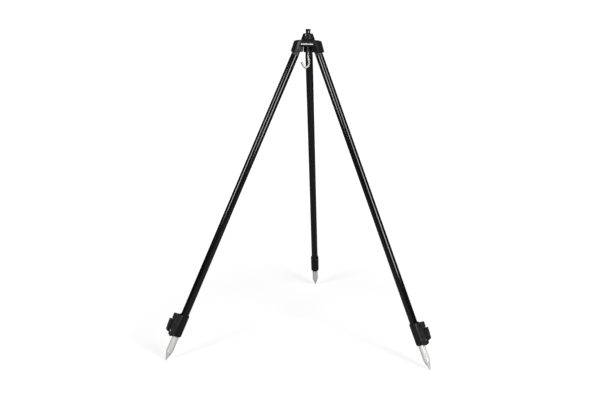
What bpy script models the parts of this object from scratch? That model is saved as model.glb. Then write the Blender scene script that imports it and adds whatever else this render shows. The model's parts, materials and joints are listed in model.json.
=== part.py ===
"""Field tripod with a swivel hook: three telescopic spiked legs folding from one head.

Metres, +Z up. The origin is on the ground under the head's axis. The legs stand at azimuths
90 (rear), 210 (left) and 330 (right) degrees, and the hook opens towards -X.

A leg's own frame has its origin at the fold bolt, -Z down the leg, +X away from the
tripod's axis and +Y along the fold bolt. Heights on a leg are given as distances from the
spike's point, which foot() turns into that frame's Z.
"""

from math import cos, degrees, pi, radians, sin

import bmesh
import bpy
from mathutils import Matrix, Vector

# ---------------------------------------------------------------- driving dimensions

LEG_AZIMUTHS = {"rear": radians(90), "left": radians(210), "right": radians(330)}
LEG_SPREAD = radians(24.52)  # from vertical, legs open on their stops
LEG_LENGTH = 1.1694  # fold bolt to spike point
PIVOT_RADIUS = 0.040  # fold bolt from the tripod's axis
GAP = 0.0003  # between two pieces that touch

UPPER_TUBE_RADIUS = 0.0134
UPPER_TUBE_WALL = 0.0012
LOWER_TUBE_RADIUS = 0.0116
LOWER_TUBE_WALL = 0.0010

POINT_RADIUS = 0.0008  # rounded end of the spike
SPIKE_LENGTH = 0.036
SPIKE_BAND = 0.003  # straight band between the spike's taper and the tube
LOWER_TUBE_TOP = 1.040  # from the spike's point, like the rest of this group
UPPER_TUBE_BOTTOM = 0.128
SLEEVE_BOTTOM = 0.0935
SLEEVE_TOP = 0.1695
SLEEVE_RADIUS = 0.0170

CLAMP_HALF = 0.0105  # half the width of the clamp's housing
LEVER_PIN_X = 0.031
LEVER_PIN_AT = 0.1085
LEVER_PIN_RADIUS = 0.0024
LEVER_HALF = 0.0098
CAM_HALF = 0.0057
CAM_RADIUS = 0.0070
CAM_THROW = 0.0012
NOSE_RADIUS = 0.0064  # of the housing's cheeks, round the lever pin
LUG_SCREW_X = 0.0262
LUG_SCREW_AT = 0.1578
LUG_CENTRE_AT = 0.1485  # of the lug's round end
LEVER_TOP = 0.1460

KNUCKLE_RADIUS = 0.0095
KNUCKLE_HALF = 0.0122
COLLAR_TOP = -0.0178  # in the leg's frame
UPPER_TUBE_TOP = -0.0243
SPIGOT_BOTTOM = -0.0480

CLEVIS_HALF = 0.0129  # half the width of the head's slots
LOBE_HALF = 0.0179
PIVOT_BOLT_RADIUS = 0.0030
HEAD_BOTTOM = 1.0545
SKIRT_BOTTOM = 1.0740
PANEL_APOTHEM = 0.0385  # front of a skirt panel from the axis
PANEL_BOW = 0.120  # radius of its slight curve
PANEL_ARC = 14  # degrees each side of its middle
PANEL_AZIMUTHS = (radians(30), radians(150), radians(270))
CAVITY_RADIUS = 0.0335
HEAD_ROOF = 1.0860  # underside of the head's top plate
HEAD_TOP = 1.0978
BOSS_TOP = 1.1192
KNOB_TOP = 1.1340

HOOK_ROD_RADIUS = 0.0040
STEM_BORE = 0.0043
STEM_TOP = 1.1300
BUSH_RADIUS = 0.0075

ROUND = 24  # sides of the tubes and the large turned pieces
SMALL_ROUND = 16
PIN_ROUND = 10

PIVOT_HEIGHT = (LEG_LENGTH - POINT_RADIUS) * cos(LEG_SPREAD) + POINT_RADIUS


# ---------------------------------------------------------------- modelling helpers


def foot(distance):
    """Z in the leg's frame of a place that far from the spike's point."""
    return distance - LEG_LENGTH


def arc(centre, radius, start, end, steps):
    """Points on an arc, angles in degrees from the outline's first axis."""
    angles = [radians(start + (end - start) * i / steps) for i in range(steps + 1)]
    return [(centre[0] + radius * cos(a), centre[1] + radius * sin(a)) for a in angles]


def to_object(bm, name="tool"):
    bmesh.ops.recalc_face_normals(bm, faces=bm.faces)
    mesh = bpy.data.meshes.new(name)
    bm.to_mesh(mesh)
    bm.free()
    obj = bpy.data.objects.new(name, mesh)
    bpy.context.scene.collection.objects.link(obj)
    return obj


def turned(outline, segments=ROUND):
    """A solid of revolution about Z from (radius, height) points, open or closed at the axis."""
    bm = bmesh.new()
    ring = [bm.verts.new((r, 0, z)) for r, z in outline]
    ends = list(zip(ring, ring[1:]))
    if max(outline[0][0], outline[-1][0]) > 0:
        ends.append((ring[-1], ring[0]))
    edges = [bm.edges.new(pair) for pair in ends]
    bmesh.ops.spin(
        bm, geom=ring + edges, cent=(0, 0, 0), axis=(0, 0, 1), angle=2 * pi,
        steps=segments, use_merge=True, use_duplicate=False,
    )
    bmesh.ops.remove_doubles(bm, verts=bm.verts, dist=1e-6)
    return to_object(bm)


def prism(outline, low, high):
    """An (x, z) outline extruded along Y from low to high."""
    bm = bmesh.new()
    face = bm.faces.new([bm.verts.new((x, low, z)) for x, z in outline])
    made = bmesh.ops.extrude_face_region(bm, geom=[face])["geom"]
    top = [v for v in made if isinstance(v, bmesh.types.BMVert)]
    bmesh.ops.translate(bm, verts=top, vec=(0, high - low, 0))
    return to_object(bm)


def upright(outline, low, high):
    """An (x, y) outline extruded along Z from low to high."""
    bm = bmesh.new()
    face = bm.faces.new([bm.verts.new((x, y, low)) for x, y in outline])
    made = bmesh.ops.extrude_face_region(bm, geom=[face])["geom"]
    top = [v for v in made if isinstance(v, bmesh.types.BMVert)]
    bmesh.ops.translate(bm, verts=top, vec=(0, 0, high - low))
    return to_object(bm)


def block(low, high):
    bm = bmesh.new()
    size = Vector(high) - Vector(low)
    middle = (Vector(high) + Vector(low)) / 2
    bmesh.ops.create_cube(
        bm, size=1, matrix=Matrix.Translation(middle) @ Matrix.Diagonal((*size, 1))
    )
    return to_object(bm)


def rod(start, end, radius, segments=PIN_ROUND):
    """A cylinder between two points."""
    start, end = Vector(start), Vector(end)
    along = end - start
    turn = along.to_track_quat("Z", "Y").to_matrix().to_4x4()
    bm = bmesh.new()
    bmesh.ops.create_cone(
        bm, cap_ends=True, segments=segments, radius1=radius, radius2=radius,
        depth=along.length, matrix=Matrix.Translation((start + end) / 2) @ turn,
    )
    return to_object(bm)


def boolean(target, operation, tools):
    for tool in tools:
        tool.hide_render = True
        tool.display_type = "WIRE"
        modifier = target.modifiers.new(operation.lower(), "BOOLEAN")
        modifier.operation = operation
        modifier.object = tool
    return target


def cut(target, *tools):
    return boolean(target, "DIFFERENCE", tools)


def join(target, *tools):
    return boolean(target, "UNION", tools)


def common(target, *tools):
    return boolean(target, "INTERSECT", tools)


def soften(target, width, segments=1):
    modifier = target.modifiers.new("bevel", "BEVEL")
    modifier.width = width
    modifier.segments = segments
    modifier.limit_method = "ANGLE"
    modifier.angle_limit = radians(40)
    return target


def spin_copies(make, turns=LEG_AZIMUTHS.values()):
    """One tool from make() for each leg, turned from the +X side to that leg's azimuth."""
    copies = []
    for azimuth in turns:
        tool = make()
        tool.matrix_world = Matrix.Rotation(azimuth, 4, "Z")
        copies.append(tool)
    return copies


def baked(target):
    """The evaluated mesh of a modelled piece, with its tools and itself taken away."""
    bpy.context.view_layer.update()
    graph = bpy.context.evaluated_depsgraph_get()
    mesh = bpy.data.meshes.new_from_object(target.evaluated_get(graph))
    waste = [target]
    for piece in waste:
        waste += [m.object for m in piece.modifiers if m.type == "BOOLEAN"]
    for piece in waste:
        bpy.data.objects.remove(piece)
    mesh.shade_smooth()
    mesh.set_sharp_from_angle(angle=radians(32))
    return mesh


def place(name, mesh, material, parent=None):
    obj = bpy.data.objects.new(name, mesh)
    bpy.context.scene.collection.objects.link(obj)
    obj.parent = parent
    if not mesh.materials:
        mesh.materials.append(material)
    return obj


def empty(name, location, rotation=(0, 0, 0), parent=None):
    obj = bpy.data.objects.new(name, None)
    bpy.context.scene.collection.objects.link(obj)
    obj.location = location
    obj.rotation_euler = rotation
    obj.parent = parent
    obj.empty_display_size = 0.02
    return obj


def shifted(mesh, offset):
    """The mesh moved by -offset, so that the piece's origin lies at offset."""
    mesh.transform(Matrix.Translation(-Vector(offset)))
    return mesh


# ---------------------------------------------------------------- materials


def material(name, colour, roughness, metallic=0.0):
    made = bpy.data.materials.new(name)
    made.use_nodes = True
    shader = made.node_tree.nodes["Principled BSDF"]
    shader.inputs["Base Color"].default_value = (*colour, 1)
    shader.inputs["Roughness"].default_value = roughness
    shader.inputs["Metallic"].default_value = metallic
    made.diffuse_color = (*colour, 1)
    return made


def make_materials():
    return {
        "moulding": material("moulded_plastic", (0.016, 0.016, 0.017), 0.42),
        "enamel": material("gloss_enamel", (0.008, 0.008, 0.009), 0.18),
        "anodised": material("anodised_aluminium", (0.62, 0.63, 0.62), 0.38, 1.0),
        "steel": material("turned_steel", (0.56, 0.56, 0.55), 0.30, 1.0),
        "stainless": material("stainless_rod", (0.66, 0.65, 0.63), 0.22, 1.0),
        "fastener": material("black_fastener", (0.03, 0.03, 0.032), 0.35, 0.8),
        "nylon": material("nylon", (0.05, 0.05, 0.055), 0.5),
        "rubber": material("brake_rubber", (0.02, 0.02, 0.02), 0.8),
        "print": material("white_label", (0.78, 0.78, 0.77), 0.5),
    }


# ---------------------------------------------------------------- head


def lobe_outline():
    """Side of one hood, as (radius, height): it slopes outwards and down over its knuckle."""
    return [
        (0.0200, 0.0007 + HEAD_ROOF), (0.0200, HEAD_TOP - 0.0006), (0.0360, HEAD_TOP - 0.0020),
        (0.0440, HEAD_TOP - 0.0042), (0.0470, HEAD_TOP - 0.0078), (0.0580, HEAD_BOTTOM + 0.0035),
        (0.0572, HEAD_BOTTOM), (0.0285, HEAD_BOTTOM), (0.0255, HEAD_BOTTOM + 0.0030),
        (0.0250, SKIRT_BOTTOM), (0.0280, 0.0007 + HEAD_ROOF),
    ]


def slot_outline():
    """Room for a knuckle from spread to folded. Its sloping outer side is the spread stop."""
    clear = KNUCKLE_RADIUS + 0.0004
    pivot = (PIVOT_RADIUS, PIVOT_HEIGHT)
    crown = arc(pivot, clear, 90, degrees(LEG_SPREAD), 5)
    down = 0.030
    end = (
        crown[-1][0] + down * sin(LEG_SPREAD),
        crown[-1][1] - down * cos(LEG_SPREAD),
    )
    inside = 0.0215
    return [(inside, end[1]), (inside, PIVOT_HEIGHT + clear), *crown, end]


def pivot_hole():
    """The fold bolt's hole, with the seats of its head and its nut, at azimuth 0."""
    fit = PIVOT_BOLT_RADIUS + GAP
    head_seat, nut_seat, outside = 0.0159, -0.0148, 0.03
    hole = turned([
        (0, -outside), (0.0064, -outside), (0.0064, nut_seat), (fit, nut_seat), (fit, head_seat),
        (0.0056, head_seat), (0.0056, outside), (0, outside),
    ], SMALL_ROUND)
    on_pivot = Matrix.Translation((PIVOT_RADIUS, 0, PIVOT_HEIGHT))
    hole.data.transform(on_pivot @ Matrix.Rotation(-pi / 2, 4, "X"))
    return hole


def hub_plan():
    """Plan of the head between the hoods: three bowed panels whose ends lie inside the hoods."""
    points = []
    for azimuth in PANEL_AZIMUTHS:
        back = PANEL_APOTHEM - PANEL_BOW
        centre = (back * cos(azimuth), back * sin(azimuth))
        middle = degrees(azimuth)
        points += arc(centre, PANEL_BOW, middle - PANEL_ARC, middle + PANEL_ARC, 6)
    return points


def head_body():
    """One moulding: the domed cap, its skirt panels and three hoods, slotted for the knuckles."""
    hub = upright(hub_plan(), SKIRT_BOTTOM, HEAD_TOP + 0.001)
    dome = turned([
        (0, SKIRT_BOTTOM - 0.01), (0.060, SKIRT_BOTTOM - 0.01), (0.060, SKIRT_BOTTOM + 0.006),
        (0.0402, 1.0902), (0.0375, 1.0935), (0.0330, 1.0956), (0.0235, HEAD_TOP), (0, HEAD_TOP),
    ])
    cavity = rod((0, 0, HEAD_BOTTOM), (0, 0, HEAD_ROOF), CAVITY_RADIUS, ROUND)
    lobes = spin_copies(lambda: soften(prism(lobe_outline(), -LOBE_HALF, LOBE_HALF), 0.0012))
    slots = spin_copies(lambda: prism(slot_outline(), -CLEVIS_HALF, CLEVIS_HALF))
    bore = rod((0, 0, HEAD_BOTTOM), (0, 0, 1.2), BUSH_RADIUS + GAP, SMALL_ROUND)
    hollow = cut(common(hub, dome), cavity)
    return baked(cut(join(hollow, *lobes), *slots, *spin_copies(pivot_hole), bore))


BOSS_SCREW_AZIMUTH = radians(-114)
BOSS_SCREW_HEIGHT = 1.1125


def boss_screw_end(radius):
    return (radius * cos(BOSS_SCREW_AZIMUTH), radius * sin(BOSS_SCREW_AZIMUTH), BOSS_SCREW_HEIGHT)


def top_boss():
    """The conical turret on the head that carries the hook's bearing."""
    boss = turned([
        (BUSH_RADIUS + GAP, HEAD_TOP + GAP), (0.0240, HEAD_TOP + GAP), (0.0240, HEAD_TOP + 0.0020),
        (0.0186, 1.1140), (0.0178, 1.1160), (0.0156, BOSS_TOP), (BUSH_RADIUS + GAP, BOSS_TOP),
    ])
    hole = rod(boss_screw_end(0.002), boss_screw_end(0.03), 0.0020 + GAP)
    return baked(cut(boss, hole))


def boss_screw():
    screw = rod(boss_screw_end(BUSH_RADIUS + 2 * GAP), boss_screw_end(0.0192), 0.0020)
    socket = rod(boss_screw_end(0.0172), boss_screw_end(0.03), 0.0011, 6)
    return baked(cut(screw, socket))


def hook_bush():
    return baked(turned([
        (STEM_BORE, HEAD_ROOF - 0.0022), (0.0105, HEAD_ROOF - 0.0022), (0.0105, HEAD_ROOF - GAP),
        (BUSH_RADIUS, HEAD_ROOF - GAP), (BUSH_RADIUS, BOSS_TOP), (STEM_BORE, BOSS_TOP),
    ], SMALL_ROUND))


def label_plate():
    """A blank printed strip on the front panel."""
    inner, outer = PANEL_BOW + GAP, PANEL_BOW + GAP + 0.0005
    low, high = 1.0798, 1.0832
    half_arc = radians(10.4)
    middle = Vector((0, PANEL_BOW - PANEL_APOTHEM, 0))
    bm = bmesh.new()
    corners = [(inner, low), (outer, low), (outer, high), (inner, high)]
    turn = Matrix.Rotation(radians(-90) - half_arc, 4, "Z")
    section = bm.faces.new([bm.verts.new(middle + turn @ Vector((r, 0, z))) for r, z in corners])
    bmesh.ops.spin(
        bm, geom=[section], cent=middle, axis=(0, 0, 1), angle=2 * half_arc, steps=8,
        use_duplicate=False,
    )
    return baked(to_object(bm))


def pivot_bolt():
    """Button-headed bolt through one hood and its knuckle, in the leg's frame."""
    shank = rod((0, -0.0186, 0), (0, 0.0170, 0), PIVOT_BOLT_RADIUS)
    head = turned([(0, 0), (0.0050, 0), (0.0050, 0.0010), (0.0040, 0.0022), (0.0022, 0.0028),
                   (0, 0.0028)], SMALL_ROUND)
    head.matrix_world = Matrix.Translation((0, 0.0162, 0)) @ Matrix.Rotation(-pi / 2, 4, "X")
    socket = rod((0, 0.0176, 0), (0, 0.03, 0), 0.0019, 6)
    return baked(cut(join(shank, head), socket))


def pivot_nut():
    body = rod((0, -0.0182, 0), (0, -0.0151, 0), 0.0055, 6)
    bore = rod((0, -0.03, 0), (0, 0, 0), PIVOT_BOLT_RADIUS + GAP)
    return baked(cut(body, bore))


# ---------------------------------------------------------------- hook

NUT_PIN_AZIMUTH = radians(-63)
NUT_PIN_HEIGHT = 1.1246
NUT_PIN_RADIUS = 0.0010


def nut_pin_rod(half_length, radius):
    side = Vector((cos(NUT_PIN_AZIMUTH), sin(NUT_PIN_AZIMUTH), 0)) * half_length
    middle = Vector((0, 0, NUT_PIN_HEIGHT))
    return rod(middle - side, middle + side, radius, PIN_ROUND)


def hook():
    """Bent rod: a straight stem, a slight swell to +X, a round bottom and a leaning tip."""
    curve = bpy.data.curves.new("hook", "CURVE")
    curve.dimensions = "3D"
    curve.bevel_depth = HOOK_ROD_RADIUS
    curve.bevel_resolution = 3
    curve.use_fill_caps = True
    line = curve.splines.new("BEZIER")
    line.resolution_u = 6
    # (x, z), direction of travel in degrees from +X, handle length
    bends = [
        ((0.0000, STEM_TOP), -90, 0.010),
        ((0.0004, 1.0500), -88, 0.012),
        ((0.0046, 1.0155), -92, 0.0075),
        ((-0.0068, 1.0010), 182, 0.0055),
        ((-0.0222, 1.0203), 117, 0.0100),
    ]
    line.bezier_points.add(len(bends) - 1)
    for point, ((x, z), heading, reach) in zip(line.bezier_points, bends):
        step = Vector((cos(radians(heading)), 0, sin(radians(heading)))) * reach
        point.co = (x, 0, z)
        point.handle_left_type = point.handle_right_type = "FREE"
        point.handle_left = point.co - step
        point.handle_right = point.co + step
    bent = bpy.data.objects.new("bent_rod", curve)
    bpy.context.scene.collection.objects.link(bent)
    graph = bpy.context.evaluated_depsgraph_get()
    bm = bmesh.new()
    bm.from_mesh(bpy.data.meshes.new_from_object(bent.evaluated_get(graph)))
    bmesh.ops.remove_doubles(bm, verts=bm.verts, dist=1e-6)
    bpy.data.objects.remove(bent)
    return baked(cut(to_object(bm), nut_pin_rod(0.012, NUT_PIN_RADIUS + GAP)))


def hook_nut():
    """The waisted cap nut on the hook's stem, with its cross pin's hole."""
    blind = STEM_TOP + 0.0006
    nut = turned([
        (0, KNOB_TOP), (0.0081, KNOB_TOP), (0.0089, 1.1325), (0.0088, 1.1290), (0.0081, 1.1255),
        (0.0081, BOSS_TOP + 0.0014), (STEM_BORE, BOSS_TOP + 0.0014), (STEM_BORE, blind),
        (0, blind),
    ], SMALL_ROUND)
    return baked(cut(nut, nut_pin_rod(0.012, NUT_PIN_RADIUS + GAP)))


def nut_pin():
    return baked(nut_pin_rod(0.0084, NUT_PIN_RADIUS))


def hook_washer():
    low, high, outer = BOSS_TOP + GAP, BOSS_TOP + 0.0011, 0.0078
    return baked(turned([(STEM_BORE, low), (outer, low), (outer, high), (STEM_BORE, high)],
                        SMALL_ROUND))


def hook_lock_nut():
    top = HEAD_ROOF - 0.0025
    body = rod((0, 0, top - 0.0062), (0, 0, top), 0.0075, 6)
    bore = rod((0, 0, 1.0), (0, 0, 1.2), STEM_BORE, SMALL_ROUND)
    return baked(cut(body, bore))


# ---------------------------------------------------------------- upper leg and its clamp


def leg_knuckle():
    """Plug in the tube's top: a round-nosed tongue for the slot, a collar and a spigot."""
    nose = arc((0, 0), KNUCKLE_RADIUS, 0, 180, 10)
    foot_z = COLLAR_TOP - 0.001
    side = [*nose, (-KNUCKLE_RADIUS, foot_z), (KNUCKLE_RADIUS, foot_z)]
    tongue = soften(prism(side, -KNUCKLE_HALF, KNUCKLE_HALF), 0.0007)
    round_off = rod((0, 0, -0.03), (0, 0, 0.02), 0.0137, ROUND)
    spigot = UPPER_TUBE_RADIUS - UPPER_TUBE_WALL - GAP
    plug = turned([
        (0, COLLAR_TOP), (UPPER_TUBE_RADIUS - 0.0006, COLLAR_TOP),
        (UPPER_TUBE_RADIUS, COLLAR_TOP - 0.0006), (UPPER_TUBE_RADIUS, UPPER_TUBE_TOP + GAP),
        (spigot, UPPER_TUBE_TOP + GAP), (spigot, SPIGOT_BOTTOM + 0.001),
        (spigot - 0.001, SPIGOT_BOTTOM), (0, SPIGOT_BOTTOM),
    ])
    bore = rod((0, -0.03, 0), (0, 0.03, 0), PIVOT_BOLT_RADIUS + GAP)
    return baked(cut(join(common(tongue, round_off), plug), bore))


def tube(radius, wall, low, high):
    return baked(turned([
        (radius - wall, low), (radius, low), (radius, high), (radius - wall, high),
    ]))


def housing_outline():
    """Side of the clamp's housing: foot, nose round the lever pin, back, and the upper lug."""
    pin = (LEVER_PIN_X, foot(LEVER_PIN_AT))
    return [
        (0.0120, foot(0.0937)), (0.0242, foot(0.0895)), (0.0258, foot(0.0903)),
        (0.0268, foot(0.0990)), *arc(pin, NOSE_RADIUS, -115, 20, 7),
        (0.0335, foot(0.1150)), (0.0335, foot(0.1478)), (0.0360, foot(0.1490)),
        (0.0360, foot(0.1662)), (0.0350, foot(0.1672)), (0.0120, foot(0.1672)),
    ]


def lug_outline():
    """The round-ended lug that the clamp screw closes, seen from the side."""
    centre = (LUG_SCREW_X, foot(LUG_CENTRE_AT))
    radius, clear = 0.0082, foot(0.178)
    return [*arc(centre, radius, 180, 360, 6), (0.045, centre[1]), (0.045, clear),
            (centre[0] - radius, clear)]


def lug_pockets():
    """Recess on both sides of the housing that leaves the lug narrower than the cheeks."""
    depth = 0.0017
    return [
        prism(lug_outline(), CLAMP_HALF - depth, CLAMP_HALF + 0.002),
        prism(lug_outline(), -CLAMP_HALF - 0.002, depth - CLAMP_HALF),
    ]


def across_leg(x, at, start, end, radius, segments=PIN_ROUND):
    return rod((x, start, foot(at)), (x, end, foot(at)), radius, segments)


def clamp_body():
    """Moulded sleeve on the tube's end, with the cheeks of the cam lever and a split lug."""
    fit = UPPER_TUBE_RADIUS + GAP
    guide = LOWER_TUBE_RADIUS + GAP
    shoulder = foot(UPPER_TUBE_BOTTOM - 0.0012)
    sleeve = turned([
        (0, foot(SLEEVE_BOTTOM)), (SLEEVE_RADIUS - 0.0016, foot(SLEEVE_BOTTOM)),
        (SLEEVE_RADIUS, foot(SLEEVE_BOTTOM + 0.0022)), (SLEEVE_RADIUS, foot(SLEEVE_TOP - 0.0012)),
        (SLEEVE_RADIUS - 0.0010, foot(SLEEVE_TOP)), (0, foot(SLEEVE_TOP)),
    ])
    bore = turned([
        (0, foot(SLEEVE_BOTTOM) - 0.02), (guide, foot(SLEEVE_BOTTOM) - 0.02), (guide, shoulder),
        (fit, shoulder), (fit, foot(SLEEVE_TOP - 0.0014)), (fit + 0.0024, foot(SLEEVE_TOP + 0.001)),
        (fit + 0.0024, foot(SLEEVE_TOP + 0.02)), (0, foot(SLEEVE_TOP + 0.02)),
    ])
    housing = prism(housing_outline(), -CLAMP_HALF, CLAMP_HALF)
    lever_slot = block((0.0172, -0.0060, foot(0.0957)), (0.060, 0.0060, foot(0.1243)))
    pad_window = block((0.0080, -0.0055, foot(0.0990)), (0.0200, 0.0055, foot(0.1180)))
    split = block((0.0080, -0.0008, foot(0.1420)), (0.060, 0.0008, foot(0.180)))
    half = CLAMP_HALF
    pin_hole = across_leg(LEVER_PIN_X, LEVER_PIN_AT, -0.02, 0.02, LEVER_PIN_RADIUS + GAP)
    rings = [
        across_leg(LEVER_PIN_X, LEVER_PIN_AT, side * (half - 0.0010), side * 0.02, 0.0043, SMALL_ROUND)
        for side in (-1, 1)
    ]
    screw_hole = across_leg(LUG_SCREW_X, LUG_SCREW_AT, -0.02, 0.02, 0.0020 + GAP)
    head_seat = across_leg(LUG_SCREW_X, LUG_SCREW_AT, half - 0.0052, 0.02, 0.0041, SMALL_ROUND)
    nut_seat = across_leg(LUG_SCREW_X, LUG_SCREW_AT, -0.02, 0.0049 - half, 0.0044, SMALL_ROUND)
    joined = join(sleeve, housing)
    return baked(cut(joined, bore, lever_slot, pad_window, split, *lug_pockets(), pin_hole, *rings,
                     screw_hole, head_seat, nut_seat))


def lever_outline():
    """Side of the lever's plate: it wraps the housing's nose and ends in a finger lip."""
    pin = (LEVER_PIN_X, foot(LEVER_PIN_AT))
    wrap = arc(pin, NOSE_RADIUS + 0.0005, 50, -22, 5)
    ribs = []
    pitch, groove, depth = 0.0055, 0.0017, 0.0008
    for i in range(5):
        middle = 0.1172 + pitch * i
        for at, inset in ((-groove, 0), (-groove / 2, depth), (groove / 2, depth), (groove, 0)):
            ribs.append((lever_back(middle + at) - inset, foot(middle + at)))
    return [
        (0.0345, foot(LEVER_TOP - 0.0006)), (0.0345, foot(0.1151)), *wrap, (0.0386, foot(0.1045)),
        (0.0402, foot(0.1053)), (lever_back(0.1077), foot(0.1077)), *ribs,
        (lever_back(LEVER_TOP - 0.0012), foot(LEVER_TOP - 0.0012)), (0.0420, foot(LEVER_TOP)),
        (0.0354, foot(LEVER_TOP)),
    ]


def lever_back(at):
    """Outer face of the lever: a shallow bow from the lip to the top end."""
    lip = 0.1053
    share = (at - lip) / (LEVER_TOP - lip)
    return 0.0404 + 0.0028 * share + 0.0009 * sin(pi * share)


def clamp_lever():
    plate = prism(lever_outline(), -LEVER_HALF, LEVER_HALF)
    cam = across_leg(LEVER_PIN_X - CAM_THROW, LEVER_PIN_AT, -CAM_HALF, CAM_HALF, CAM_RADIUS, ROUND)
    root = prism([
        (0.0310, foot(0.1045)), (0.0380, foot(0.1057)), (0.0390, foot(0.1215)),
        (0.0350, foot(0.1220)), (0.0300, foot(0.1145)),
    ], 0.0002 - CAM_HALF, CAM_HALF - 0.0002)
    bore = across_leg(LEVER_PIN_X, LEVER_PIN_AT, -0.02, 0.02, LEVER_PIN_RADIUS + GAP)
    return baked(cut(join(plate, cam, root), bore))


def lever_pin():
    tip = CLAMP_HALF + 0.0003
    return baked(soften(
        across_leg(LEVER_PIN_X, LEVER_PIN_AT, -tip, tip, LEVER_PIN_RADIUS), 0.0004))


def brake_pad():
    """Block that the cam presses on the lower tube, hollowed to the tube's radius."""
    face = LEVER_PIN_X - CAM_RADIUS - CAM_THROW - GAP
    pad = block((0.0085, -0.0052, foot(0.0993)), (face, 0.0052, foot(0.1177)))
    hollow = rod((0, 0, foot(0.09)), (0, 0, foot(0.13)), LOWER_TUBE_RADIUS + GAP, 32)
    return baked(cut(pad, hollow))


def clamp_screw():
    head_base = CLAMP_HALF - 0.0049
    shank = across_leg(LUG_SCREW_X, LUG_SCREW_AT, -0.0092, head_base + 0.001, 0.0020)
    head = across_leg(LUG_SCREW_X, LUG_SCREW_AT, head_base, head_base + 0.0030, 0.0036, SMALL_ROUND)
    socket = across_leg(LUG_SCREW_X, LUG_SCREW_AT, head_base + 0.0014, 0.02, 0.0017, 6)
    return baked(cut(join(shank, head), socket))


def clamp_nut():
    body = across_leg(LUG_SCREW_X, LUG_SCREW_AT, -0.0082, 0.0046 - CLAMP_HALF, 0.0040, 6)
    bore = across_leg(LUG_SCREW_X, LUG_SCREW_AT, -0.02, 0, 0.0020 + GAP)
    return baked(cut(body, bore))


# ---------------------------------------------------------------- lower leg


def spike():
    """Turned point with a band of the tube's size and a plug inside the tube."""
    nose = [(POINT_RADIUS * sin(radians(a)), foot(POINT_RADIUS * (1 - cos(radians(a)))))
            for a in (0, 35, 70)]
    band, plug = LOWER_TUBE_RADIUS, LOWER_TUBE_RADIUS - LOWER_TUBE_WALL - GAP
    shoulder = foot(SPIKE_LENGTH + SPIKE_BAND)
    return baked(turned([
        *nose, (0.0055, foot(0.0160)), (0.0101, foot(0.0300)), (band, foot(SPIKE_LENGTH)),
        (band, shoulder), (plug, shoulder), (plug, shoulder + 0.019),
        (plug - 0.001, shoulder + 0.020), (0, shoulder + 0.020),
    ]))


def guide_bush():
    """Plastic bush on the lower tube's top end, which runs in the upper tube."""
    run = UPPER_TUBE_RADIUS - UPPER_TUBE_WALL - GAP
    plug = LOWER_TUBE_RADIUS - LOWER_TUBE_WALL - GAP
    seat = foot(LOWER_TUBE_TOP + GAP)
    return baked(turned([
        (0.006, seat - 0.018), (plug, seat - 0.018), (plug, seat), (run, seat),
        (run, seat + 0.007), (run - 0.001, seat + 0.008), (0.006, seat + 0.008),
    ], SMALL_ROUND))


# ---------------------------------------------------------------- assembly


def build_head(looks):
    place("head_body", head_body(), looks["moulding"])
    place("top_boss", top_boss(), looks["moulding"])
    place("boss_screw", boss_screw(), looks["steel"])
    place("hook_bush", hook_bush(), looks["nylon"])
    place("label_plate", label_plate(), looks["print"])


def build_hook(looks):
    swivel = empty("hook_swivel_axis", (0, 0, BOSS_TOP))
    pieces = [
        ("hook", hook, "stainless"), ("hook_nut", hook_nut, "moulding"),
        ("nut_pin", nut_pin, "steel"), ("hook_washer", hook_washer, "fastener"),
        ("hook_lock_nut", hook_lock_nut, "fastener"),
    ]
    for name, make, look in pieces:
        place(name, shifted(make(), swivel.location), looks[look], swivel)


def build_legs(looks):
    lower_low = foot(SPIKE_LENGTH + SPIKE_BAND + GAP)
    upper_wall, lower_wall = UPPER_TUBE_WALL, LOWER_TUBE_WALL
    lever_axis = Vector((LEVER_PIN_X, 0, foot(LEVER_PIN_AT)))
    on_leg = {
        "pivot_bolt": (pivot_bolt(), "fastener"),
        "pivot_nut": (pivot_nut(), "fastener"),
        "leg_knuckle": (leg_knuckle(), "moulding"),
        "upper_tube": (
            tube(UPPER_TUBE_RADIUS, upper_wall, foot(UPPER_TUBE_BOTTOM), UPPER_TUBE_TOP),
            "enamel",
        ),
        "clamp_body": (clamp_body(), "moulding"),
        "lever_pin": (lever_pin(), "steel"),
        "clamp_screw": (clamp_screw(), "fastener"),
        "clamp_nut": (clamp_nut(), "fastener"),
        "brake_pad": (brake_pad(), "rubber"),
        "lower_tube": (
            tube(LOWER_TUBE_RADIUS, lower_wall, lower_low, foot(LOWER_TUBE_TOP)), "anodised",
        ),
        "spike": (spike(), "steel"),
        "guide_bush": (guide_bush(), "nylon"),
    }
    lever = shifted(clamp_lever(), lever_axis)
    for side, azimuth in LEG_AZIMUTHS.items():
        pivot = (PIVOT_RADIUS * cos(azimuth), PIVOT_RADIUS * sin(azimuth), PIVOT_HEIGHT)
        leg = empty(f"leg_axis_{side}", pivot, (0, -LEG_SPREAD, azimuth))
        for name, (mesh, look) in on_leg.items():
            place(f"{name}_{side}", mesh, looks[look], leg)
        axis = empty(f"lever_axis_{side}", lever_axis, parent=leg)
        place(f"clamp_lever_{side}", lever, looks["moulding"], axis)


def main():
    for obj in list(bpy.data.objects):
        bpy.data.objects.remove(obj)
    looks = make_materials()
    build_head(looks)
    build_hook(looks)
    build_legs(looks)


main()
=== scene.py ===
"""Looks for the field tripod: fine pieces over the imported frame, a pale studio and a camera."""

import json
from math import acos, atan2, cos, degrees, pi, radians, sin, sqrt, tan

import bmesh
import bpy
from mathutils import Matrix, Vector


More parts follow.
